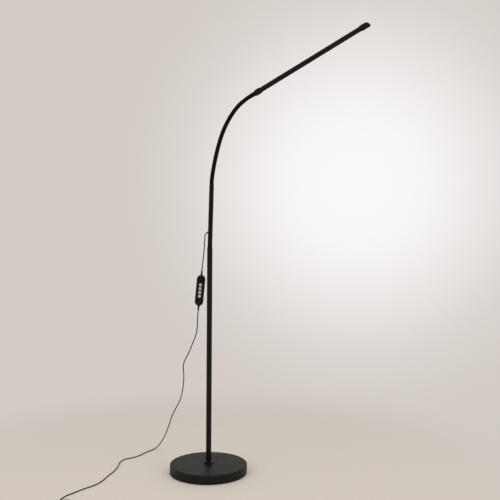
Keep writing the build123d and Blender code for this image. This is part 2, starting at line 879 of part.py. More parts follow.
with BuildPart() as controller_board:
    with BuildSketch(controller):
        add(controller_outline.sketch)
        offset(amount=-board_inset)
        Rectangle(controller_width, controller_length - 2 * controller_board_end_gap, mode=Mode.INTERSECT)
        with Locations(*shell_screw_places):
            Circle(shell_screw_d / 2 + moulded_gap, mode=Mode.SUBTRACT)
    extrude(amount=controller_board_thickness)
controller_board.part.label = "controller_board"
export_step(controller_board.part, "parts/controller_board.step")

with BuildPart() as controller_switches:
    with BuildSketch(controller.offset(controller_board_thickness)):
        with Locations(*button_places):
            Rectangle(switch_size, switch_size)
    extrude(amount=switch_top - controller_board_thickness)
controller_switches.part.label = "controller_switches"
export_step(controller_switches.part, "parts/controller_switches.step")

with BuildPart() as indicator_lens:
    with BuildSketch(controller.offset(controller_board_thickness)):
        with Locations((0, indicator_at)):
            Circle(indicator_d / 2)
    extrude(amount=controller_half + face_gap - controller_board_thickness)
indicator_lens.part.label = "indicator_lens"
export_step(indicator_lens.part, "parts/indicator_lens.step")

for name, place in zip(("button_power", "button_tone", "button_brighter", "button_dimmer"), button_places):
    button_seat = Plane(
        origin=controller.from_local_coords(Vector(*place, button_bottom)),
        x_dir=controller.x_dir,
        z_dir=controller.z_dir,
    )
    button = turned(
        button_seat,
        [
            (0, 0),
            (button_flange_d / 2, 0),
            (button_flange_d / 2, button_flange_thickness),
            (button_d / 2, button_flange_thickness),
            (button_d / 2, button_top - button_bottom),
            (0, button_top - button_bottom),
        ],
    )
    button.part.label = name
    export_step(button.part, f"parts/{name}.step")


def strain_relief(start, wall, length):
    """A moulded relief, slotted into a wall that lies behind the plane start."""
    return turned(
        start,
        [
            (0, -2 * wall - relief_seat_gap),
            (relief_flange_d / 2, -2 * wall - relief_seat_gap),
            (relief_flange_d / 2, -wall - relief_seat_gap),
            (relief_neck_d / 2, -wall - relief_seat_gap),
            (relief_neck_d / 2, fit_gap),
            (relief_root_d / 2, fit_gap),
            (relief_tip_d / 2, length),
            (0, length),
        ],
    )


controller_relief_top = strain_relief(controller_top, controller_wall, relief_length)
controller_relief_top.part.label = "controller_relief_top"
export_step(controller_relief_top.part, "parts/controller_relief_top.step")

controller_relief_bottom = strain_relief(controller_bottom, controller_wall, relief_length)
controller_relief_bottom.part.label = "controller_relief_bottom"
export_step(controller_relief_bottom.part, "parts/controller_relief_bottom.step")

# ---------------------------------------------------------------- cord
cord_r = cord_d / 2
gland_tip = gland.origin + gland.z_dir * gland_reach
relief_top_tip = controller_top.origin + controller_top.z_dir * relief_length
relief_bottom_tip = controller_bottom.origin + controller_bottom.z_dir * relief_length
coil_x, coil_y = coil_start
coil_y -= cord_d

# the upper cord bends down out of its gland and hangs down to the controller
upper_route = [
    gland_tip,
    Vector(-10.6, 0, pole_top + 44.24),
    Vector(-12.65, 0, pole_top + 42.19),
    Vector(-14.1, 0, pole_top + 39.68),
    Vector(-14.85, 0, pole_top + 36.88),
    Vector(-15.1, 0, pole_top + 31.0),
    Vector(-15.6, 0, pole_top + 19.0),
    Vector(-17.0, 0, pole_top - 5.0),
    Vector(-19.6, 0, pole_top - 31.0),
    relief_top_tip + tilt * relief_straight,
    relief_top_tip,
]

# the lower cord hangs from the controller, then lies on the floor, out to the left and the front
hang = relief_bottom_tip.Z / cord_hang_height
lower_route = [
    relief_bottom_tip,
    relief_bottom_tip - tilt * relief_straight,
    Vector(-36.3, 9, 438 * hang),
    Vector(-41, 26, 409 * hang),
    Vector(-52, 46, 383 * hang),
    Vector(-68, 68, 344 * hang),
    Vector(-88, 91, 309 * hang),
    Vector(-86, 118, 265 * hang),
    Vector(-92, 145, 218 * hang),
    Vector(-103, 165, 176 * hang),
    Vector(-129, 187, 130 * hang),
    Vector(-144, 204, 84 * hang),
    Vector(-157, 214, 50 * hang),
    Vector(-172, 222, 24 * hang),
    Vector(-184, 224, 9 * hang),
    Vector(-197, 218, cord_r),
    Vector(-213, 197, cord_r),
    Vector(-231, 153, cord_r),
    Vector(-250, 129, cord_r),
    Vector(-272, 117, cord_r),
    Vector(-282, 88, cord_r),
    Vector(-279, 44, cord_r),
    Vector(-281, 0, cord_r),
    Vector(-292, -45, cord_r),
    Vector(-298, -90, cord_r),
    Vector(-313, -127, cord_r),
    Vector(-337, -155, cord_r),
    Vector(-353, -182, cord_r),
    Vector(-371, -207, cord_r),
    Vector(coil_start[0], coil_start[1] + cord_last_run, cord_r),
    Vector(*coil_start, cord_r),
]


def cord_tube(name, route):
    """A cord along a route: straight runs joined by arcs as large as the runs allow."""
    runs = [after - before for before, after in zip(route, route[1:])]
    radii = []
    for run, next_run in zip(runs, runs[1:]):
        half_turn = math.radians(run.get_angle(next_run)) / 2
        radii.append(cord_length_share * min(run.length, next_run.length) / math.tan(half_turn))
    with BuildPart() as piece:
        with BuildLine() as path:
            FilletPolyline(*route, radius=radii)
        with BuildSketch(Plane(origin=route[0], z_dir=runs[0])):
            Circle(cord_r)
        sweep(path=path.line)
    length = path.wire().length
    volume_share = piece.part.volume / (math.pi * cord_r**2 * length)
    print(f"{name}: length {length:.1f}, volume over section x length {volume_share:.4f}")
    print(f"{name}: least radius {min(radii):.1f}, radii", " ".join(f"{radius:.0f}" for radius in radii))
    piece.part.label = name
    return piece


cord_upper = cord_tube("cord_upper", upper_route)
export_step(cord_upper.part, "parts/cord_upper.step")

cord_lower = cord_tube("cord_lower", lower_route)
export_step(cord_lower.part, "parts/cord_lower.step")

# the put-away length: two layers of turns, spiralling in on the floor, then out on top
coil_pitch = cord_d + coil_turn_gap
layer_height = cord_r + coil_pitch
half_turns = 2 * coil_turns_per_layer
inward_radii = [coil_outer_radius - index * coil_pitch / 2 for index in range(half_turns)]
climb_radius = coil_outer_radius - half_turns * coil_pitch / 2
outward_radii = inward_radii[:0:-1]
adapter_axis_height = adapter_height / 2
rise = adapter_axis_height - layer_height
rise_angle = math.acos(1 - rise / 2 / coil_rise_radius)
rise_y = coil_y - coil_exit_run
rise_end_y = rise_y - 2 * coil_rise_radius * math.sin(rise_angle)
adapter_tip_y = rise_end_y - cord_d

with BuildPart() as cord_coil:
    with BuildLine() as coil_path:
        Line((coil_x, coil_y + cord_d, cord_r), (coil_x, coil_y, cord_r))
        x, z = coil_x, cord_r
        for index, radius in enumerate(inward_radii + [climb_radius] + outward_radii):
            side = 1 if index % 2 == 0 else -1
            end_x = x + 2 * side * radius
            end_z = layer_height if index >= half_turns else cord_r
            depth = math.hypot(radius, (end_z - z) / 2)
            middle = ((x + end_x) / 2, coil_y - side * depth, (z + end_z) / 2)
            ThreePointArc((x, coil_y, z), middle, (end_x, coil_y, end_z))
            x, z = end_x, end_z
        Line((x, coil_y, z), (x, rise_y, z))
        rise_middle = Vector(x, (rise_y + rise_end_y) / 2, (layer_height + adapter_axis_height) / 2)
        half_sine = coil_rise_radius * math.sin(rise_angle / 2)
        half_drop = coil_rise_radius * (1 - math.cos(rise_angle / 2))
        ThreePointArc((x, rise_y, z), (x, rise_y - half_sine, z + half_drop), rise_middle)
        rise_end = Vector(x, rise_end_y, adapter_axis_height)
        ThreePointArc(rise_middle, rise_end + Vector(0, half_sine, -half_drop), rise_end)
        Line(rise_end, (x, adapter_tip_y, adapter_axis_height))
    with BuildSketch(Plane(origin=(coil_x, coil_y + cord_d, cord_r), z_dir=(0, -1, 0))):
        Circle(cord_r)
    sweep(path=coil_path.line)
cord_coil.part.label = "cord_coil"
export_step(cord_coil.part, "parts/cord_coil.step")


def least_self_gap(line, step, reach):
    """The least distance between two stretches of a tube, further than reach apart along it."""
    count = int(line.length / step)
    points = [line @ (index / count) for index in range(count + 1)]
    skip = int(reach / step)
    nearest = min(
        (points[first] - points[second]).length
        for first in range(len(points))
        for second in range(first + skip, len(points))
    )
    return nearest - cord_d


print(f"cord_coil: length {coil_path.wire().length:.1f}")
print(f"cord_coil: least gap to itself {least_self_gap(coil_path.wire(), 1.0, 4 * cord_d):.2f}")

# ---------------------------------------------------------------- wall adapter
adapter_start_y = adapter_tip_y - adapter_relief_length
adapter_centre = Vector(coil_x, adapter_start_y - adapter_length / 2, adapter_axis_height)
adapter_face_x = coil_x - adapter_depth / 2
adapter_face = Plane(
    origin=(adapter_face_x, adapter_centre.Y, adapter_centre.Z), x_dir=(0, 1, 0), z_dir=(1, 0, 0)
)
adapter_end = Plane(origin=(coil_x, adapter_start_y, adapter_axis_height), x_dir=(1, 0, 0), z_dir=(0, 1, 0))

with BuildPart() as adapter_cover:
    with BuildSketch(adapter_face):
        RectangleRounded(adapter_length, adapter_height, adapter_edge)
    extrude(amount=adapter_depth)
    fillet(adapter_cover.faces().sort_by(Axis.X)[-1].edges(), adapter_edge / 2)
    with BuildSketch(adapter_face):
        RectangleRounded(
            adapter_length - 2 * adapter_wall, adapter_height - 2 * adapter_wall, adapter_edge / 2
        )
    extrude(amount=adapter_depth - adapter_wall, mode=Mode.SUBTRACT)
    with BuildSketch(adapter_end):
        Circle(relief_neck_d / 2 + fit_gap)
    extrude(amount=-2 * adapter_wall, mode=Mode.SUBTRACT)
adapter_cover.part.label = "adapter_cover"
export_step(adapter_cover.part, "parts/adapter_cover.step")

lip_length = adapter_length - 2 * (adapter_wall + moulded_gap)
lip_width = adapter_height - 2 * (adapter_wall + moulded_gap)
blade_places = [(0, -blade_spacing / 2), (0, blade_spacing / 2)]
with BuildPart() as adapter_base:
    with BuildSketch(adapter_face):
        RectangleRounded(adapter_length, adapter_height, adapter_edge)
    extrude(amount=-adapter_base_thickness)
    fillet(adapter_base.faces().sort_by(Axis.X)[0].edges(), adapter_edge / 3)
    with BuildSketch(adapter_face):
        RectangleRounded(lip_length, lip_width, adapter_edge / 2)
        Rectangle(lip_length - 2 * adapter_wall, lip_width - 2 * adapter_wall, mode=Mode.SUBTRACT)
    extrude(amount=adapter_lip_depth)
    with BuildSketch(adapter_face):
        with Locations(*blade_places):
            Rectangle(blade_width + 2 * fit_gap, blade_thickness + 2 * fit_gap)
    extrude(amount=-adapter_base_thickness, mode=Mode.SUBTRACT)
adapter_base.part.label = "adapter_base"
export_step(adapter_base.part, "parts/adapter_base.step")

with BuildPart() as adapter_blades:
    with BuildSketch(adapter_face.offset(blade_inside)):
        with Locations(*blade_places):
            Rectangle(blade_width, blade_thickness)
    extrude(amount=-blade_inside - adapter_base_thickness - blade_reach)
adapter_blades.part.label = "adapter_blades"
export_step(adapter_blades.part, "parts/adapter_blades.step")

with BuildPart() as adapter_circuit:
    with BuildSketch(adapter_face.offset(blade_inside + face_gap)):
        Rectangle(adapter_board[1], adapter_board[2])
    extrude(amount=adapter_board[0])
    with BuildSketch(adapter_face.offset(blade_inside + face_gap + adapter_board[0])):
        with Locations((adapter_transformer_at, 0)):
            Rectangle(adapter_transformer[1], adapter_transformer[2])
    extrude(amount=adapter_transformer[0])
adapter_circuit.part.label = "adapter_circuit"
export_step(adapter_circuit.part, "parts/adapter_circuit.step")

adapter_relief = strain_relief(adapter_end, adapter_wall, adapter_relief_length)
adapter_relief.part.label = "adapter_relief"
export_step(adapter_relief.part, "parts/adapter_relief.step")
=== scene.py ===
import json
import math

import bmesh
import bpy
from mathutils import Matrix, Vector
from mathutils.geometry import interpolate_bezier


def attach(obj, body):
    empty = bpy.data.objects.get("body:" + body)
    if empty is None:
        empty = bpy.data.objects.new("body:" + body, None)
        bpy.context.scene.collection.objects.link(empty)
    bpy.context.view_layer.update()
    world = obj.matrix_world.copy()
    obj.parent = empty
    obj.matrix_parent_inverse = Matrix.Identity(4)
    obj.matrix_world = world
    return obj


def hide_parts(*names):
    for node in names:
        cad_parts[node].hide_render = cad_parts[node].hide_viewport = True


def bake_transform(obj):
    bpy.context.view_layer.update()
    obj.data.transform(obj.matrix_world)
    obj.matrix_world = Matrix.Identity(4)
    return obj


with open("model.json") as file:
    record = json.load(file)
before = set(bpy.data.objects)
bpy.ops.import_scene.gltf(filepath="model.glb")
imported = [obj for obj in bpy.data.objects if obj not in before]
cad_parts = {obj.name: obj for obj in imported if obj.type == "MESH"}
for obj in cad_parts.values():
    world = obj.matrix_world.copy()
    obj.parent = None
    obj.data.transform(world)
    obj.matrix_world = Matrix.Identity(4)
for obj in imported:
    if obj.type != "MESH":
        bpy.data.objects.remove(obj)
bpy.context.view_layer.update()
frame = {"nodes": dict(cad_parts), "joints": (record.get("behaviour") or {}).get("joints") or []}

parts = frame["nodes"]

# ---------------------------------------------------------------- camera
# A level camera two metres in front of the lamp, at about half of its height. Its small roll
# gives the pole the lean that it has in the picture.
picture_size = 500.0
picture_focal = 680.0
camera_place = (0.1203, -2.037, 0.6658)
camera_roll = 0.0061

camera_data = bpy.data.cameras.new("camera")
camera_data.sensor_width = 36.0
camera_data.lens = camera_data.sensor_width * picture_focal / picture_size
camera = bpy.data.objects.new("camera", camera_data)
camera.location = camera_place
camera.rotation_euler = (math.pi / 2, -camera_roll, 0)
bpy.context.collection.objects.link(camera)
bpy.context.scene.camera = camera

# ---------------------------------------------------------------- floor and light
# A plain pale floor that gives way to a pale surround a little behind the lamp. On the surround
# there is a painted pool of light, a brighter patch in its colour where the lit head would light
# the wall. One large soft lamp hangs overhead, one stands to the left in front and a weaker one
# to the right.
floor_size = 18.0
floor_colour = (0.60, 0.545, 0.49)
floor_roughness = 0.7
surround_colour = (0.65, 0.60, 0.56)
surround_light, surround_light_colour = 0.62, (1.0, 0.985, 0.965)
fade_start, fade_end = 0.45, 1.3
# painted pool of light: the surround's seen colour is brighter round this direction, out to this
# reach
painted_pool_colour = (0.96, 0.94, 0.95)
painted_pool_direction = (0.152, 0.984, 0.098)
painted_pool_reach = 0.38


def seen_directly(nodes, links):
    """1 where the viewer looks straight at a surface, or sees it mirrored or through glass."""
    rays = nodes.new("ShaderNodeLightPath")
    seen = rays.outputs["Is Camera Ray"]
    for kind in ("Is Glossy Ray", "Is Transmission Ray"):
        either = nodes.new("ShaderNodeMath")
        either.operation = "MAXIMUM"
        links.new(seen, either.inputs[0])
        links.new(rays.outputs[kind], either.inputs[1])
        seen = either.outputs["Value"]
    return seen


floor_mesh = bpy.data.meshes.new("floor")
reach = floor_size / 2
corners = [(-reach, -reach, 0), (reach, -reach, 0), (reach, reach, 0), (-reach, reach, 0)]
floor_mesh.from_pydata(corners, [], [(0, 1, 2, 3)])
floor = bpy.data.objects.new("floor", floor_mesh)
bpy.context.collection.objects.link(floor)
floor_paint = bpy.data.materials.new("floor_paint")
floor_paint.use_nodes = True
floor_nodes, floor_links = floor_paint.node_tree.nodes, floor_paint.node_tree.links
floor_shader = floor_nodes["Principled BSDF"]
floor_shader.inputs["Base Color"].default_value = (*floor_colour, 1)
floor_shader.inputs["Roughness"].default_value = floor_roughness
floor_place = floor_nodes.new("ShaderNodeTexCoord")
floor_distance = floor_nodes.new("ShaderNodeVectorMath")
floor_distance.operation = "LENGTH"
floor_links.new(floor_place.outputs["Object"], floor_distance.inputs[0])
floor_fade = floor_nodes.new("ShaderNodeMapRange")
floor_fade.interpolation_type = "SMOOTHSTEP"
floor_fade.inputs["From Min"].default_value = fade_start
floor_fade.inputs["From Max"].default_value = fade_end
floor_links.new(floor_distance.outputs["Value"], floor_fade.inputs["Value"])
floor_seen_fade = floor_nodes.new("ShaderNodeMath")
floor_seen_fade.operation = "MULTIPLY"
floor_links.new(floor_fade.outputs["Result"], floor_seen_fade.inputs[0])
floor_links.new(seen_directly(floor_nodes, floor_links), floor_seen_fade.inputs[1])
floor_gone = floor_nodes.new("ShaderNodeBsdfTransparent")
floor_mix = floor_nodes.new("ShaderNodeMixShader")
floor_links.new(floor_seen_fade.outputs["Value"], floor_mix.inputs["Fac"])
floor_links.new(floor_shader.outputs["BSDF"], floor_mix.inputs[1])
floor_links.new(floor_gone.outputs["BSDF"], floor_mix.inputs[2])
floor_links.new(floor_mix.outputs["Shader"], floor_nodes["Material Output"].inputs["Surface"])
floor_mesh.materials.append(floor_paint)

surround = bpy.data.worlds.new("surround")
bpy.context.scene.world = surround
surround.use_nodes = True
surround_nodes, surround_links = surround.node_tree.nodes, surround.node_tree.links
surround_lit = surround_nodes["Background"]
surround_lit.inputs["Color"].default_value = (*surround_light_colour, 1)
surround_lit.inputs["Strength"].default_value = surround_light
surround_towards = surround_nodes.new("ShaderNodeTexCoord")
# the painted pool of light, mixed into the surround's colour where it is seen directly
painted_pool_distance = surround_nodes.new("ShaderNodeVectorMath")
painted_pool_distance.operation = "DISTANCE"
painted_pool_distance.inputs[1].default_value = painted_pool_direction
surround_links.new(surround_towards.outputs["Generated"], painted_pool_distance.inputs[0])
painted_pool_share = surround_nodes.new("ShaderNodeMapRange")
painted_pool_share.interpolation_type = "SMOOTHERSTEP"
painted_pool_share.inputs["From Max"].default_value = painted_pool_reach
painted_pool_share.inputs["To Min"].default_value = 1
painted_pool_share.inputs["To Max"].default_value = 0
surround_links.new(painted_pool_distance.outputs["Value"], painted_pool_share.inputs["Value"])
surround_plain = surround_nodes.new("ShaderNodeBackground")
surround_plain.inputs["Color"].default_value = (*surround_colour, 1)
surround_painted_pool = surround_nodes.new("ShaderNodeBackground")
surround_painted_pool.inputs["Color"].default_value = (*painted_pool_colour, 1)
surround_seen = surround_nodes.new("ShaderNodeMixShader")
surround_links.new(painted_pool_share.outputs["Result"], surround_seen.inputs["Fac"])
surround_links.new(surround_plain.outputs["Background"], surround_seen.inputs[1])
surround_links.new(surround_painted_pool.outputs["Background"], surround_seen.inputs[2])
surround_mix = surround_nodes.new("ShaderNodeMixShader")
surround_links.new(seen_directly(surround_nodes, surround_links), surround_mix.inputs["Fac"])
surround_links.new(surround_lit.outputs["Background"], surround_mix.inputs[1])
surround_links.new(surround_seen.outputs["Shader"], surround_mix.inputs[2])
surround_shown = surround_nodes["World Output"].inputs["Surface"]
surround_links.new(surround_mix.outputs["Shader"], surround_shown)

for lamp_name, place, aim, size, power in (
    ("overhead_lamp", (0.2, -0.4, 3.2), (0.0, 0.0, 0.3), 2.2, 38.0),
    ("left_lamp", (-2.4, -2.2, 1.9), (0.0, 0.0, 0.7), 1.4, 24.0),
    ("right_lamp", (2.6, -1.4, 1.6), (0.1, 0.0, 0.8), 1.2, 11.0),
):
    lamp_data = bpy.data.lights.new(lamp_name, "AREA")
    lamp_data.shape = "SQUARE"
    lamp_data.size = size
    lamp_data.energy = power
    lamp = bpy.data.objects.new(lamp_name, lamp_data)
    lamp.location = place
    lamp.rotation_euler = (Vector(aim) - Vector(place)).to_track_quat("-Z", "Y").to_euler()
    bpy.context.collection.objects.link(lamp)

bpy.context.scene.view_settings.view_transform = "Standard"

# ---------------------------------------------------------------- cord
# A thin round black lead. It leaves the neck through a small gland, hangs to the controller,
# hangs and lies from there to the floor's left, and is wound up in a coil beside its adapter.
cord_d = 0.0032
# every finish here adds a slow noise and a fine one, and their sum mostly lies in noise_low to
# noise_high; drawn_out is the share of a drawn grain that is taken away along its direction
cloud_detail, grain_detail = 6.0, 3.0
noise_low, noise_high = 0.7, 1.3
gloss_spread = 0.08
grain_strength = 0.6
drawn_out = 0.985


def surfaced(
    name,
    colour,
    roughness,
    grain_size,
    grain_height,
    mottle=0.1,
    cloud_size=0.03,
    specular=0.5,
    metallic=0.0,
    drawn=None,
):
    """A finish with a fine grain in its height, and with changes in its shade and its gloss.

    drawn is the direction that the grain is drawn out along, as on extruded or brushed metal.
    """
    material = bpy.data.materials.new(name)
    material.use_nodes = True
    nodes, links = material.node_tree.nodes, material.node_tree.links
    shader = nodes["Principled BSDF"]
    shader.inputs["Metallic"].default_value = metallic
    shader.inputs["Specular IOR Level"].default_value = specular
    place = nodes.new("ShaderNodeTexCoord").outputs["Object"]
    grain_place = place
    if drawn:
        along = nodes.new("ShaderNodeVectorMath")
        along.operation = "DOT_PRODUCT"
        links.new(place, along.inputs[0])
        along.inputs[1].default_value = drawn
        shorten = nodes.new("ShaderNodeVectorMath")
        shorten.operation = "SCALE"
        shorten.inputs[0].default_value = [drawn_out * part for part in drawn]
        links.new(along.outputs["Value"], shorten.inputs["Scale"])
        stretched = nodes.new("ShaderNodeVectorMath")
        stretched.operation = "SUBTRACT"
        links.new(place, stretched.inputs[0])
        links.new(shorten.outputs["Vector"], stretched.inputs[1])
        grain_place = stretched.outputs["Vector"]
    cloud = nodes.new("ShaderNodeTexNoise")
    cloud.inputs["Scale"].default_value = 1.0 / cloud_size
    cloud.inputs["Detail"].default_value = cloud_detail
    links.new(place, cloud.inputs["Vector"])
    grain = nodes.new("ShaderNodeTexNoise")
    grain.inputs["Scale"].default_value = 1.0 / grain_size
    grain.inputs["Detail"].default_value = grain_detail
    links.new(grain_place, grain.inputs["Vector"])
    both = nodes.new("ShaderNodeMath")
    both.operation = "ADD"
    links.new(cloud.outputs["Fac"], both.inputs[0])
    links.new(grain.outputs["Fac"], both.inputs[1])
    changes = []
    for middle, spread in ((1.0, mottle), (roughness, gloss_spread)):
        change = nodes.new("ShaderNodeMapRange")
        change.inputs["From Min"].default_value = noise_low
        change.inputs["From Max"].default_value = noise_high
        change.inputs["To Min"].default_value = middle - spread
        change.inputs["To Max"].default_value = middle + spread
        links.new(both.outputs["Value"], change.inputs["Value"])
        changes.append(change.outputs["Result"])
    shade, gloss = changes
    tint = nodes.new("ShaderNodeVectorMath")
    tint.operation = "SCALE"
    tint.inputs[0].default_value = colour
    links.new(shade, tint.inputs["Scale"])
    links.new(tint.outputs["Vector"], shader.inputs["Base Color"])
    links.new(gloss, shader.inputs["Roughness"])
    relief = nodes.new("ShaderNodeBump")
    relief.inputs["Strength"].default_value = grain_strength
    relief.inputs["Distance"].default_value = grain_height
    links.new(grain.outputs["Fac"], relief.inputs["Height"])
    links.new(relief.outputs["Normal"], shader.inputs["Normal"])
    return material


cord_sheath = surfaced(
    "cord_sheath", (0.0060, 0.0053, 0.0046), roughness=0.42, specular=0.22, grain_size=0.0012,
    grain_height=0.00008,
)


def cord_along(name, points):
    """A round cord as a smooth curve that is led by the points of its route."""
    line = bpy.data.curves.new(name, "CURVE")
    line.dimensions = "3D"
    line.bevel_depth = cord_d / 2
    line.bevel_resolution = 5
    line.resolution_u = 10
    line.use_fill_caps = True
    spline = line.splines.new("NURBS")
    spline.points.add(len(points) - 1)
    for point, at in zip(spline.points, points):
        point.co = (*at, 1)
    spline.order_u = 3
    spline.use_endpoint_u = True
    line.materials.append(cord_sheath)
    piece = bpy.data.objects.new(name, line)
    bpy.context.collection.objects.link(piece)
    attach(piece, "stand")
    return piece


upper_route = [
    (-0.00809, 0, 0.71669),
    (-0.0106, 0, 0.71524),
    (-0.01265, 0, 0.71319),
    (-0.0141, 0, 0.71068),
    (-0.01485, 0, 0.70788),
    (-0.0151, 0, 0.7020),
    (-0.0156, 0, 0.6900),
    (-0.0170, 0, 0.6660),
    (-0.0196, 0, 0.6400),
    (-0.02157, 0, 0.62330),
    (-0.02331, 0, 0.60337),
]
cord_upper = cord_along("cord_to_controller", upper_route)
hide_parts("cord_upper")

lower_route = [
    (-0.03369, 0, 0.48483),
    (-0.03543, 0, 0.46490),
    (-0.0363, 0.009, 0.438),
    (-0.041, 0.026, 0.409),
    (-0.052, 0.046, 0.383),
    (-0.068, 0.068, 0.344),
    (-0.088, 0.091, 0.309),
    (-0.086, 0.118, 0.265),
    (-0.092, 0.145, 0.218),
    (-0.103, 0.165, 0.176),
    (-0.129, 0.187, 0.130),
    (-0.144, 0.204, 0.084),
    (-0.157, 0.214, 0.050),
    (-0.172, 0.222, 0.024),
    (-0.184, 0.224, 0.009),
    (-0.197, 0.218, 0.0016),
    (-0.213, 0.197, 0.0016),
    (-0.231, 0.153, 0.0016),
    (-0.250, 0.129, 0.0016),
    (-0.272, 0.117, 0.0016),
    (-0.282, 0.088, 0.0016),
    (-0.279, 0.044, 0.0016),
    (-0.281, 0.000, 0.0016),
    (-0.292, -0.045, 0.0016),
    (-0.298, -0.090, 0.0016),
    (-0.313, -0.127, 0.0016),
    (-0.337, -0.155, 0.0016),
    (-0.353, -0.182, 0.0016),
    (-0.371, -0.207, 0.0016),
    (-0.379, -0.238, 0.0016),
]

# the put-away length: turns that spiral in on the floor, climb, and spiral out on top
coil_x, coil_y = -0.379, -0.2702
coil_radius = 0.022
coil_step = 0.00375
coil_half_turns = 6
coil_points_per_half_turn = 8
coil_spread = 1 / math.cos(math.pi / 2 / coil_points_per_half_turn)
layer_height = cord_d / 2 + coil_step
adapter_level = 0.015

coil_radii = [coil_radius - index * coil_step / 2 for index in range(coil_half_turns + 1)]
coil_radii += coil_radii[-2:0:-1]
coil_route = [(coil_x, coil_y, cord_d / 2)]
turn_x, turn_z = coil_x, cord_d / 2
for index, radius in enumerate(coil_radii):
    side = 1 if index % 2 == 0 else -1
    next_z = layer_height if index >= coil_half_turns else cord_d / 2
    for step in range(coil_points_per_half_turn):
        angle = (step + 0.5) / coil_points_per_half_turn * math.pi
        coil_route.append((
            turn_x + side * radius * (1 - math.cos(angle) * coil_spread),
            coil_y - side * radius * math.sin(angle) * coil_spread,
            turn_z + (next_z - turn_z) * (1 - math.cos(angle)) / 2,
        ))
    turn_x += 2 * side * radius
    turn_z = next_z
# off the coil's top layer and up to the adapter's relief
coil_route += [
    (turn_x, -0.2762, layer_height),
    (turn_x, -0.2836, layer_height),
    (turn_x, -0.2948, adapter_level),
    (turn_x, -0.3054, adapter_level),
]
cord_lower = cord_along("cord_to_adapter", lower_route + coil_route)
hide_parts("cord_lower", "cord_coil")

# ---------------------------------------------------------------- foot
# A pressed steel cup in fine-textured black powder coat over a cast-iron weight. A zinc-plated
# plate closes it from below with three countersunk screws, over a thin foam pad.
powder_coat = surfaced(
    "powder_coat", (0.0075, 0.0064, 0.0058), roughness=0.50, specular=0.16, grain_size=0.0007,
    grain_height=0.00006, mottle=0.18, cloud_size=0.05,
)
cast_iron = surfaced(
    "cast_iron", (0.16, 0.155, 0.15), roughness=0.75, metallic=0.7, grain_size=0.0014,
    grain_height=0.0003, mottle=0.2,
)
zinc = surfaced(
    "zinc", (0.58, 0.59, 0.60), roughness=0.34, metallic=1.0, grain_size=0.0009,
    grain_height=0.00003, mottle=0.08, drawn=(1.0, 0.0, 0.0),
)
pad_foam = surfaced(
    "pad_foam", (0.030, 0.030, 0.030), roughness=0.92, grain_size=0.0010, grain_height=0.0003,
    mottle=0.2,
)
steel = surfaced(
    "steel", (0.50, 0.50, 0.50), roughness=0.30, metallic=1.0, grain_size=0.0005,
    grain_height=0.00004, mottle=0.08,
)

weld_reach = 0.000001
flat_angle, edge_angle = math.radians(0.5), math.radians(40)


def break_edges(piece, width):
    """Rounds a piece's sharp edges over a small width."""
    broken = piece.modifiers.new("broken_edge", "BEVEL")
    broken.width = width
    broken.segments = 2
    broken.limit_method = "ANGLE"
    broken.angle_limit = edge_angle


def dress(names, finish, edge=0.0):
    """Gives carried-over pieces their finish, and breaks their sharp edges by a small width."""
    for name in names:
        piece = parts[name]
        piece.data.materials.clear()
        piece.data.materials.append(finish)
        if edge:
            joined = piece.modifiers.new("joined", "WELD")
            joined.merge_threshold = weld_reach
            merged = piece.modifiers.new("merged_flats", "DECIMATE")
            merged.decimate_type = "DISSOLVE"
            merged.angle_limit = flat_angle
            break_edges(piece, edge)
            evened = piece.modifiers.new("even_shading", "WEIGHTED_NORMAL")
            evened.keep_sharp = True


dress(["base_cover"], powder_coat)
dress(["base_weight"], cast_iron)
dress(["base_plate"], zinc)
dress(["base_pad"], pad_foam)
dress(["base_plate_screws", "base_stud", "base_washer", "base_nut"], steel)

# ---------------------------------------------------------------- pole
# Two welded steel tubes in semi-gloss black paint, butted at half height over a threaded stud,
# with a turned collar round the foot. Plated inserts are pressed into the tube ends.
pole_paint = surfaced(
    "pole_paint", (0.0050, 0.0038, 0.0032), roughness=0.36, specular=0.16, grain_size=0.0022,
    grain_height=0.00005, mottle=0.15, cloud_size=0.06,
)

dress(["pole_lower", "pole_upper"], pole_paint, edge=0.00035)
dress(["pole_collar"], pole_paint, edge=0.0003)
dress(["pole_inserts", "pole_joint_stud"], steel)

# ---------------------------------------------------------------- rigid lower neck
# A turned plug screws onto the pole and carries a thin painted tube. The cord leaves the tube's
# side through a small moulded gland that points down and to the left.
ferrule_paint = surfaced(
    "ferrule_paint", (0.0040, 0.0031, 0.0025), roughness=0.36, specular=0.12,
    grain_size=0.0018, grain_height=0.00004, mottle=0.15,
)
relief_rubber = surfaced(
    "relief_rubber", (0.0060, 0.0055, 0.0050), roughness=0.62, specular=0.18,
    grain_size=0.0006, grain_height=0.00005, mottle=0.15,
)
lead_sheath = surfaced(
    "lead_sheath", (0.035, 0.034, 0.033), roughness=0.5, grain_size=0.0010,
    grain_height=0.00005,
)

dress(["neck_plug", "neck_ferrule"], ferrule_paint, edge=0.0003)
dress(["cord_gland"], relief_rubber, edge=0.0002)
dress(["ferrule_lead"], lead_sheath)

# ---------------------------------------------------------------- flexible neck
# A wound steel spring hose in a matt black sleeve that shows the spring's turns as faint ribs,
# with a bore for the lead. Each length of it crosses one joint.
sleeve_r = 0.0063
hose_bore_r = 0.0022
rib_pitch = 0.0028
rib_depth = 0.00022
rib_rings = 6
sleeve_sides = 36
sleeve_inside_ferrule = 0.0042
points_per_link = 60
neck_mouth = Vector((0.004197, 0, 0.858952))
neck_end = Vector((0.120079, 0, 1.127154))
ferrule_lean, neck_end_lean = math.radians(1.3), math.radians(58.1)
across = Vector((0, 1, 0))

sleeve_rubber = surfaced(
    "sleeve_rubber", (0.0024, 0.0021, 0.0018), roughness=0.62, specular=0.08,
    grain_size=0.0005, grain_height=0.00004, mottle=0.12,
)


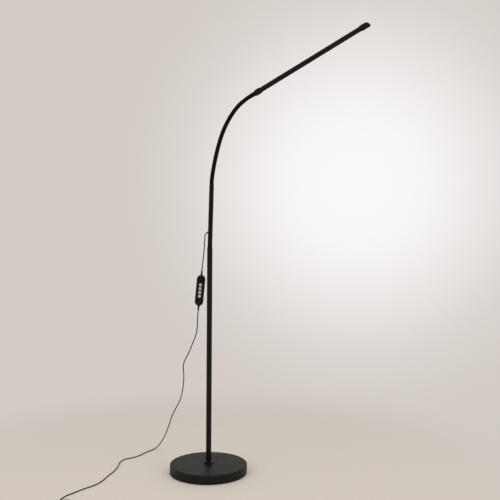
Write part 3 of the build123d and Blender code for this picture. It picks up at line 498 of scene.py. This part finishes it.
def skinned(name, rings, finish, hollow=False):
    """A smooth surface through rings of points that run anticlockwise about its direction.

    A flat face closes each end. The rings of a hollow piece come back through its bore, and the
    last one joins the first.
    """
    count = len(rings[0])
    last = count * (len(rings) - 1)
    faces = []
    for first in range(0, last + count if hollow else last, count):
        further = (first + count) % (last + count)
        for index in range(count):
            after = (index + 1) % count
            faces.append((first + index, first + after, further + after, further + index))
    if not hollow:
        faces.append(tuple(reversed(range(count))))
        faces.append(tuple(range(last, last + count)))
    mesh = bpy.data.meshes.new(name)
    mesh.from_pydata([point for ring in rings for point in ring], [], faces)
    for polygon in mesh.polygons:
        polygon.use_smooth = True
    mesh.materials.append(finish)
    piece = bpy.data.objects.new(name, mesh)
    bpy.context.collection.objects.link(piece)
    return piece


def ring_about(centre, axis, side, radius, count):
    """Points round a centre, in the plane square to the axis, from the direction side on."""
    other = axis.cross(side)
    angles = [2 * math.pi * index / count for index in range(count)]
    return [centre + side * radius * math.cos(a) + other * radius * math.sin(a) for a in angles]


hinges = [joint for joint in frame["joints"] if joint["child"].startswith("neck_")]
hinges.sort(key=lambda joint: joint["child"])
knots = [neck_mouth, *(Vector(joint["pos_m"]) for joint in hinges), neck_end]
headings = [Vector((math.sin(ferrule_lean), 0, math.cos(ferrule_lean)))]
headings += [(after - before).normalized() for before, after in zip(knots, knots[2:])]
headings.append(Vector((math.sin(neck_end_lean), 0, math.cos(neck_end_lean))))

hose_points = [neck_mouth - headings[0] * sleeve_inside_ferrule]
knot_indices = [1]
for a, b, heading_a, heading_b in zip(knots, knots[1:], headings, headings[1:]):
    third = (b - a).length / 3
    handle_a, handle_b = a + heading_a * third, b - heading_b * third
    hose_points += interpolate_bezier(a, handle_a, handle_b, b, points_per_link)[:-1]
    knot_indices.append(len(hose_points))
hose_points.append(neck_end)
hose_lengths = [0.0]
for before, after in zip(hose_points, hose_points[1:]):
    hose_lengths.append(hose_lengths[-1] + (after - before).length)


def hose_at(distance):
    """The hose's centre and its direction, at a distance along it."""
    index = 1
    while hose_lengths[index] < distance and index < len(hose_points) - 1:
        index += 1
    before, after = hose_points[index - 1], hose_points[index]
    length_before, length_after = hose_lengths[index - 1], hose_lengths[index]
    share = (distance - length_before) / (length_after - length_before)
    return before.lerp(after, share), (after - before).normalized()


# the seams lie in grooves between two ribs, halfway between the joints
knot_lengths = [hose_lengths[index] for index in knot_indices]
seams = [0.0]
for before, after in zip(knot_lengths[1:-2], knot_lengths[2:-1]):
    seams.append(round((before + after) / 2 / rib_pitch) * rib_pitch)
seams.append(hose_lengths[-1])

for number, joint in enumerate(hinges, 1):
    seam, next_seam = seams[number - 1], seams[number]
    ring_count = round((next_seam - seam) / rib_pitch * rib_rings)
    rings = []
    for index in range(ring_count + 1):
        distance = seam + (next_seam - seam) * index / ring_count
        centre, heading = hose_at(distance)
        groove = (1 + math.cos(2 * math.pi * distance / rib_pitch)) / 2
        radius = sleeve_r - rib_depth * groove**2
        rings.append(ring_about(centre, heading, across, radius, sleeve_sides))
    bore_count = ring_count // rib_rings
    for index in range(bore_count, -1, -1):
        centre, heading = hose_at(seam + (next_seam - seam) * index / bore_count)
        rings.append(ring_about(centre, heading, across, hose_bore_r, sleeve_sides))
    sleeve = skinned(f"neck_sleeve_{number:02d}", rings, sleeve_rubber, hollow=True)
    sleeve.data.set_sharp_from_angle(angle=edge_angle)
    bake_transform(sleeve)
    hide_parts(f"neck_section_{number - 1:02d}")
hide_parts("neck_section_10")

# ---------------------------------------------------------------- head
# An extruded, black anodised aluminium housing between two moulded caps. A frosted strip slides
# into its underside in front of the diodes. The near cap turns on the threaded end of the neck.
swivel = next(joint for joint in frame["joints"] if joint["name"] == "head_swivel")
head_axis = Vector(swivel["axis"]).normalized()
head_origin = Vector(swivel["pos_m"])
head_roll = math.radians(12)
housing_start, housing_length, housing_width = 0.018, 0.3575, 0.030
diode_pitch = 0.0145
diode_light, diode_strength, diode_ripple = (1.0, 0.97, 0.90), 0.75, 0.07
cap_screw_r, cap_screw_height = 0.0023, 0.0014
cap_screw_level = 0.0018
cap_screws_along = (0.022, 0.3715)

downhill = across.cross(head_axis)
head_side = across * math.cos(head_roll) - downhill * math.sin(head_roll)
head_place = Matrix.Translation(head_origin) @ Matrix(
    (head_side, head_axis.cross(head_side), head_axis)
).transposed().to_4x4()

anodised = surfaced(
    "anodised", (0.0050, 0.0045, 0.0038), roughness=0.40, specular=0.17, grain_size=0.0007,
    grain_height=0.00004, mottle=0.10, drawn=tuple(head_axis),
)
cap_plastic = surfaced(
    "cap_plastic", (0.0050, 0.0043, 0.0036), roughness=0.55, specular=0.17, grain_size=0.0006,
    grain_height=0.00005, mottle=0.12,
)
black_oxide = surfaced(
    "black_oxide", (0.012, 0.012, 0.012), roughness=0.35, specular=0.35, grain_size=0.0004,
    grain_height=0.00003, mottle=0.1,
)
board_lacquer = surfaced(
    "board_lacquer", (0.78, 0.79, 0.78), roughness=0.45, grain_size=0.0011,
    grain_height=0.00003, mottle=0.05,
)
phosphor = surfaced(
    "phosphor", (0.85, 0.72, 0.25), roughness=0.5, grain_size=0.0005, grain_height=0.00003,
    mottle=0.06,
)
frosted = surfaced(
    "frosted", (0.80, 0.79, 0.76), roughness=0.48, grain_size=0.0005, grain_height=0.00003,
    mottle=0.03,
)


def shine(material, origin, direction):
    """Light from behind a frosted sheet, a little brighter in front of each diode."""
    nodes, links = material.node_tree.nodes, material.node_tree.links
    shader = nodes["Principled BSDF"]
    shader.inputs["Emission Color"].default_value = (*diode_light, 1)
    place = nodes.new("ShaderNodeTexCoord")
    along = nodes.new("ShaderNodeVectorMath")
    along.operation = "DOT_PRODUCT"
    links.new(place.outputs["Object"], along.inputs[0])
    along.inputs[1].default_value = direction
    phase = nodes.new("ShaderNodeMath")
    phase.operation = "MULTIPLY_ADD"
    phase.inputs[1].default_value = 2 * math.pi / diode_pitch
    phase.inputs[2].default_value = -2 * math.pi / diode_pitch * origin.dot(direction)
    links.new(along.outputs["Value"], phase.inputs[0])
    wave = nodes.new("ShaderNodeMath")
    wave.operation = "COSINE"
    links.new(phase.outputs["Value"], wave.inputs[0])
    glow = nodes.new("ShaderNodeMath")
    glow.operation = "MULTIPLY_ADD"
    glow.inputs[1].default_value = diode_ripple * diode_strength
    glow.inputs[2].default_value = diode_strength
    links.new(wave.outputs["Value"], glow.inputs[0])
    links.new(glow.outputs["Value"], shader.inputs["Emission Strength"])


first_diode = head_origin + head_axis * (housing_start + housing_length / 2 + diode_pitch / 2)
shine(frosted, first_diode, head_axis)

# shares of a screw head's radius for its cross, and of its height for the rim and the recess
screw_sides, dome_rings = 48, 24
cross_length, cross_end_slope = 0.62, 0.10
cross_width, cross_flank_slope = 0.18, 0.07
cross_depth = 0.55
rim_height = 0.5


def screw_head(name, node, foot, axis, radius, height, body):
    """A domed screw head with a cross recess, on the point foot."""
    side = axis.orthogonal().normalized()
    other = axis.cross(side)
    rings = [
        ring_about(foot + axis * height * rise, axis, side, radius, screw_sides)
        for rise in (0, rim_height)
    ]
    for index in range(1, dome_rings + 1):
        share = 1 - index / (dome_rings + 0.5)
        dome = rim_height + (1 - rim_height) * math.sqrt(1 - share**2)
        ring = []
        for point in ring_about(foot, axis, side, radius * share, screw_sides):
            u, v = (abs((point - foot).dot(way)) / radius for way in (side, other))
            recess = 0.0
            for length_way, width_way in ((u, v), (v, u)):
                end = min(max((cross_length - length_way) / cross_end_slope, 0), 1)
                flank = min(max((cross_width - width_way) / cross_flank_slope, 0), 1)
                recess = max(recess, end * flank)
            ring.append(point + axis * height * (dome - cross_depth * recess))
        rings.append(ring)
    piece = skinned(name, rings, black_oxide)
    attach(piece, body)
    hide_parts(node)


for number, along in enumerate(cap_screws_along, 1):
    foot = head_place @ Vector((housing_width / 2, cap_screw_level, along))
    screw_head(
        f"cap_screw_{number}", "head_cap_screws", foot, head_side,
        cap_screw_r, cap_screw_height, "head",
    )

dress(["neck_end_fitting"], ferrule_paint, edge=0.0003)
dress(["head_near_cap", "head_far_cap"], cap_plastic)
dress(["head_housing"], anodised, edge=0.00025)
dress(["head_diffuser"], frosted)
dress(["led_board"], board_lacquer)
dress(["led_chips"], phosphor)
dress(["head_lead"], lead_sheath)
dress(["swivel_washer", "swivel_nut"], steel)

# ---------------------------------------------------------------- in-line controller
# A slim moulded box with rounded ends hangs in the cord, its two half shells screwed together
# from behind. Four light-grey round keys with printed signs and a small lens are on its front.
controller_tilt = math.radians(5)
controller_place = Matrix.Translation((-0.0285, 0, 0.5441)) @ Matrix((
    (math.cos(controller_tilt), math.sin(controller_tilt), 0, 0),
    (0, 0, -1, 0),
    (-math.sin(controller_tilt), math.cos(controller_tilt), 0, 0),
    (0, 0, 0, 1),
))
key_top = 0.0071
key_heights = {"power": 0.0163, "tone": 0.0051, "brighter": -0.0061, "dimmer": -0.0173}
print_thickness, print_line = 0.00006, 0.0006
sign_r, sign_length = 0.0024, 0.0036
power_bar_at, power_bar_length = 0.0018, 0.0024
power_ring_from, power_ring_to = 125, 415
tone_window_r = 0.0019
shell_screw_heights = (0.033, -0.0285)
shell_screw_r, shell_screw_height = 0.0019, 0.0012
shell_screw_seat = -0.0035
relief_start = 0.046
relief_length, relief_root_r, relief_tip_r = 0.0135, 0.0034, 0.0025
relief_steps, relief_sides = 72, 40
relief_seat, relief_lip, relief_rib_depth = 0.0016, 0.0003, 0.00042
# shares of a relief's root radius for its seat and lip, and of its length for its ribs and tip
seat_share, lip_share = 0.84, 0.95
ribs_from, ribs_to, ribs_apart = 0.14, 0.86, 0.18
tip_from = 0.95

shell_plastic = surfaced(
    "shell_plastic", (0.0042, 0.0036, 0.0030), roughness=0.52, specular=0.14,
    grain_size=0.0005, grain_height=0.00005, mottle=0.12,
)
key_plastic = surfaced(
    "key_plastic", (0.50, 0.49, 0.47), roughness=0.46, grain_size=0.0004,
    grain_height=0.00003, mottle=0.05, cloud_size=0.006,
)
key_print = surfaced(
    "key_print", (0.055, 0.053, 0.050), roughness=0.55, grain_size=0.0004,
    grain_height=0.00002, mottle=0.1,
)
smoked = surfaced(
    "smoked", (0.10, 0.10, 0.10), roughness=0.15, grain_size=0.0006, grain_height=0.00001,
    mottle=0.05,
)
solder_mask = surfaced(
    "solder_mask", (0.02, 0.14, 0.06), roughness=0.35, grain_size=0.0009,
    grain_height=0.00005, mottle=0.25, cloud_size=0.004,
)
switch_plastic = surfaced(
    "switch_plastic", (0.05, 0.05, 0.05), roughness=0.5, grain_size=0.0006,
    grain_height=0.00003,
)


def plate(name, loops, place, thickness, finish):
    """A flat piece with the outlines and holes in loops, standing on the plane place."""
    form = bmesh.new()
    for loop in loops:
        points = [form.verts.new((x, y, 0)) for x, y in loop]
        for a, b in zip(points, points[1:] + points[:1]):
            form.edges.new((a, b))
    rim = form.edges[:]
    bmesh.ops.triangle_fill(form, use_beauty=True, edges=rim, normal=(0, 0, 1))
    raised = {point: form.verts.new((*point.co.xy, thickness)) for point in form.verts[:]}
    for face in form.faces[:]:
        form.faces.new([raised[point] for point in face.verts])
    for a, b in [edge.verts for edge in rim]:
        form.faces.new((a, b, raised[b], raised[a]))
    bmesh.ops.recalc_face_normals(form, faces=form.faces[:])
    mesh = bpy.data.meshes.new(name)
    form.to_mesh(mesh)
    form.free()
    mesh.transform(place)
    mesh.materials.append(finish)
    piece = bpy.data.objects.new(name, mesh)
    bpy.context.collection.objects.link(piece)
    return piece


def arc(radius, start, end, count):
    """Points on a circle about the origin, from one angle to another, in degrees."""
    angles = [math.radians(start + (end - start) * index / count) for index in range(count + 1)]
    return [(radius * math.cos(angle), radius * math.sin(angle)) for angle in angles]


def bar(x, y, width, height):
    """A rectangle about a centre."""
    w, h = width / 2, height / 2
    return [(x - w, y - h), (x + w, y - h), (x + w, y + h), (x - w, y + h)]


def plus(length, width):
    """The outline of a plus sign about the origin."""
    far, near = length / 2, width / 2
    outline = []
    for u, v in ((1, 0), (0, 1), (-1, 0), (0, -1)):
        for out, over in ((far, -near), (far, near), (near, near)):
            outline.append((out * u - over * v, out * v + over * u))
    return outline


def relief_with_ribs(name, node, start, axis, length):
    """A tapered moulded relief with soft ribs, round at its tip, where the cord leaves it.

    It is seated a little way in the shell, and a small lip covers the shell's hole.
    """
    seat_r, lip_r = relief_root_r * seat_share, relief_root_r * lip_share
    profile = [(seat_r, -relief_seat), (seat_r, 0.0), (lip_r, relief_lip / 3)]
    for index in range(relief_steps + 1):
        share = index / relief_steps
        radius = relief_root_r + (relief_tip_r - relief_root_r) * share
        if ribs_from < share < ribs_to:
            groove = 0.5 - 0.5 * math.cos(2 * math.pi * (share - ribs_from) / ribs_apart)
            radius -= relief_rib_depth * groove**1.5
        if share > tip_from:
            radius -= (radius - cord_d / 2) * ((share - tip_from) / (1 - tip_from)) ** 2
        profile.append((radius, relief_lip + (length - relief_lip) * share))
    side = axis.orthogonal().normalized()
    rings = [
        ring_about(start + axis * height, axis, side, radius, relief_sides)
        for radius, height in profile
    ]
    piece = skinned(name, rings, relief_rubber)
    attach(piece, "stand")
    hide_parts(node)


signs = {
    "power": [
        arc(sign_r, power_ring_from, power_ring_to, 40)
        + arc(sign_r - print_line, power_ring_to, power_ring_from, 40),
        bar(0, power_bar_at, print_line, power_bar_length),
    ],
    "tone": [arc(sign_r, 0, 360, 60)[:-1], arc(tone_window_r, 0, 180, 30)],
    "brighter": [plus(sign_length, print_line)],
    "dimmer": [bar(0, 0, sign_length, print_line)],
}
for key, height in key_heights.items():
    at = controller_place @ Matrix.Translation((0, height, key_top))
    sign = plate(f"{key}_sign", signs[key], at, print_thickness, key_print)
    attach(sign, f"{key}_button")
    dress([f"button_{key}"], key_plastic, edge=0.00035)

controller_up = (controller_place.to_3x3() @ Vector((0, 1, 0))).normalized()
controller_front = Vector((0, -1, 0))
for end, sense in (("top", 1), ("bottom", -1)):
    relief_with_ribs(
        f"relief_{end}", f"controller_relief_{end}",
        controller_place @ Vector((0, sense * relief_start, 0)), controller_up * sense,
        relief_length,
    )
for number, height in enumerate(shell_screw_heights, 1):
    screw_head(
        f"shell_screw_{number}", "controller_screws",
        controller_place @ Vector((0, height, shell_screw_seat)), -controller_front,
        shell_screw_r, shell_screw_height, "stand",
    )

dress(["controller_front", "controller_back"], shell_plastic, edge=0.0002)
dress(["indicator_lens"], smoked, edge=0.0002)
dress(["controller_board"], solder_mask)
dress(["controller_switches"], switch_plastic)

# ---------------------------------------------------------------- wall adapter
# A small two-part moulded box that plugs straight into the wall, with two flat plated blades.
# The cord comes out of its end through a ribbed relief.
adapter_centre = Vector((-0.379, -0.3454, adapter_level))
adapter_end_y = -0.3194
adapter_face_x, adapter_base_x, blade_tip_x = -0.3865, -0.3935, -0.4095
blade_width, blade_thickness, blade_spacing = 0.0063, 0.0015, 0.0127
blade_corner, blade_corner_in, blade_corner_across = 0.0014, 0.0004, 0.0006
blade_hole_r, blade_hole_at = 0.0016, 0.0117
blade_edge = 0.0003
adapter_relief_length = 0.014

adapter_plastic = surfaced(
    "adapter_plastic", (0.0090, 0.0085, 0.0080), roughness=0.5, specular=0.25,
    grain_size=0.0005, grain_height=0.00006, mottle=0.12,
)
blade_plating = surfaced(
    "blade_plating", (0.72, 0.70, 0.64), roughness=0.24, metallic=1.0, grain_size=0.0004,
    grain_height=0.00003, mottle=0.06, drawn=(1.0, 0.0, 0.0),
)

blade_length, blade_half = adapter_face_x - blade_tip_x, blade_width / 2
blade_outline = [
    (0, -blade_half),
    (blade_length - blade_corner, -blade_half),
    (blade_length - blade_corner_in, -blade_half + blade_corner_across),
    (blade_length, -blade_half + blade_corner),
    (blade_length, blade_half - blade_corner),
    (blade_length - blade_corner_in, blade_half - blade_corner_across),
    (blade_length - blade_corner, blade_half),
    (0, blade_half),
]
hole_x = adapter_face_x - adapter_base_x + blade_hole_at
blade_hole = [(hole_x + x, y) for x, y in arc(blade_hole_r, 0, 360, 36)[:-1]]
for side_name, sense in (("left", -1), ("right", 1)):
    level = adapter_centre.z + sense * blade_spacing / 2 + blade_thickness / 2
    blade_root = Matrix.Translation((adapter_face_x, adapter_centre.y, level))
    blade = plate(
        f"blade_{side_name}", [blade_outline, blade_hole],
        blade_root @ Matrix.Diagonal((-1, 1, -1, 1)), blade_thickness, blade_plating,
    )
    break_edges(blade, blade_edge)
    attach(blade, "stand")
    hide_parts("adapter_blades")

relief_with_ribs(
    "relief_adapter", "adapter_relief",
    Vector((adapter_centre.x, adapter_end_y, adapter_centre.z)), Vector((0, 1, 0)),
    adapter_relief_length,
)
dress(["adapter_cover", "adapter_base"], adapter_plastic, edge=0.0003)
dress(["adapter_circuit"], solder_mask)
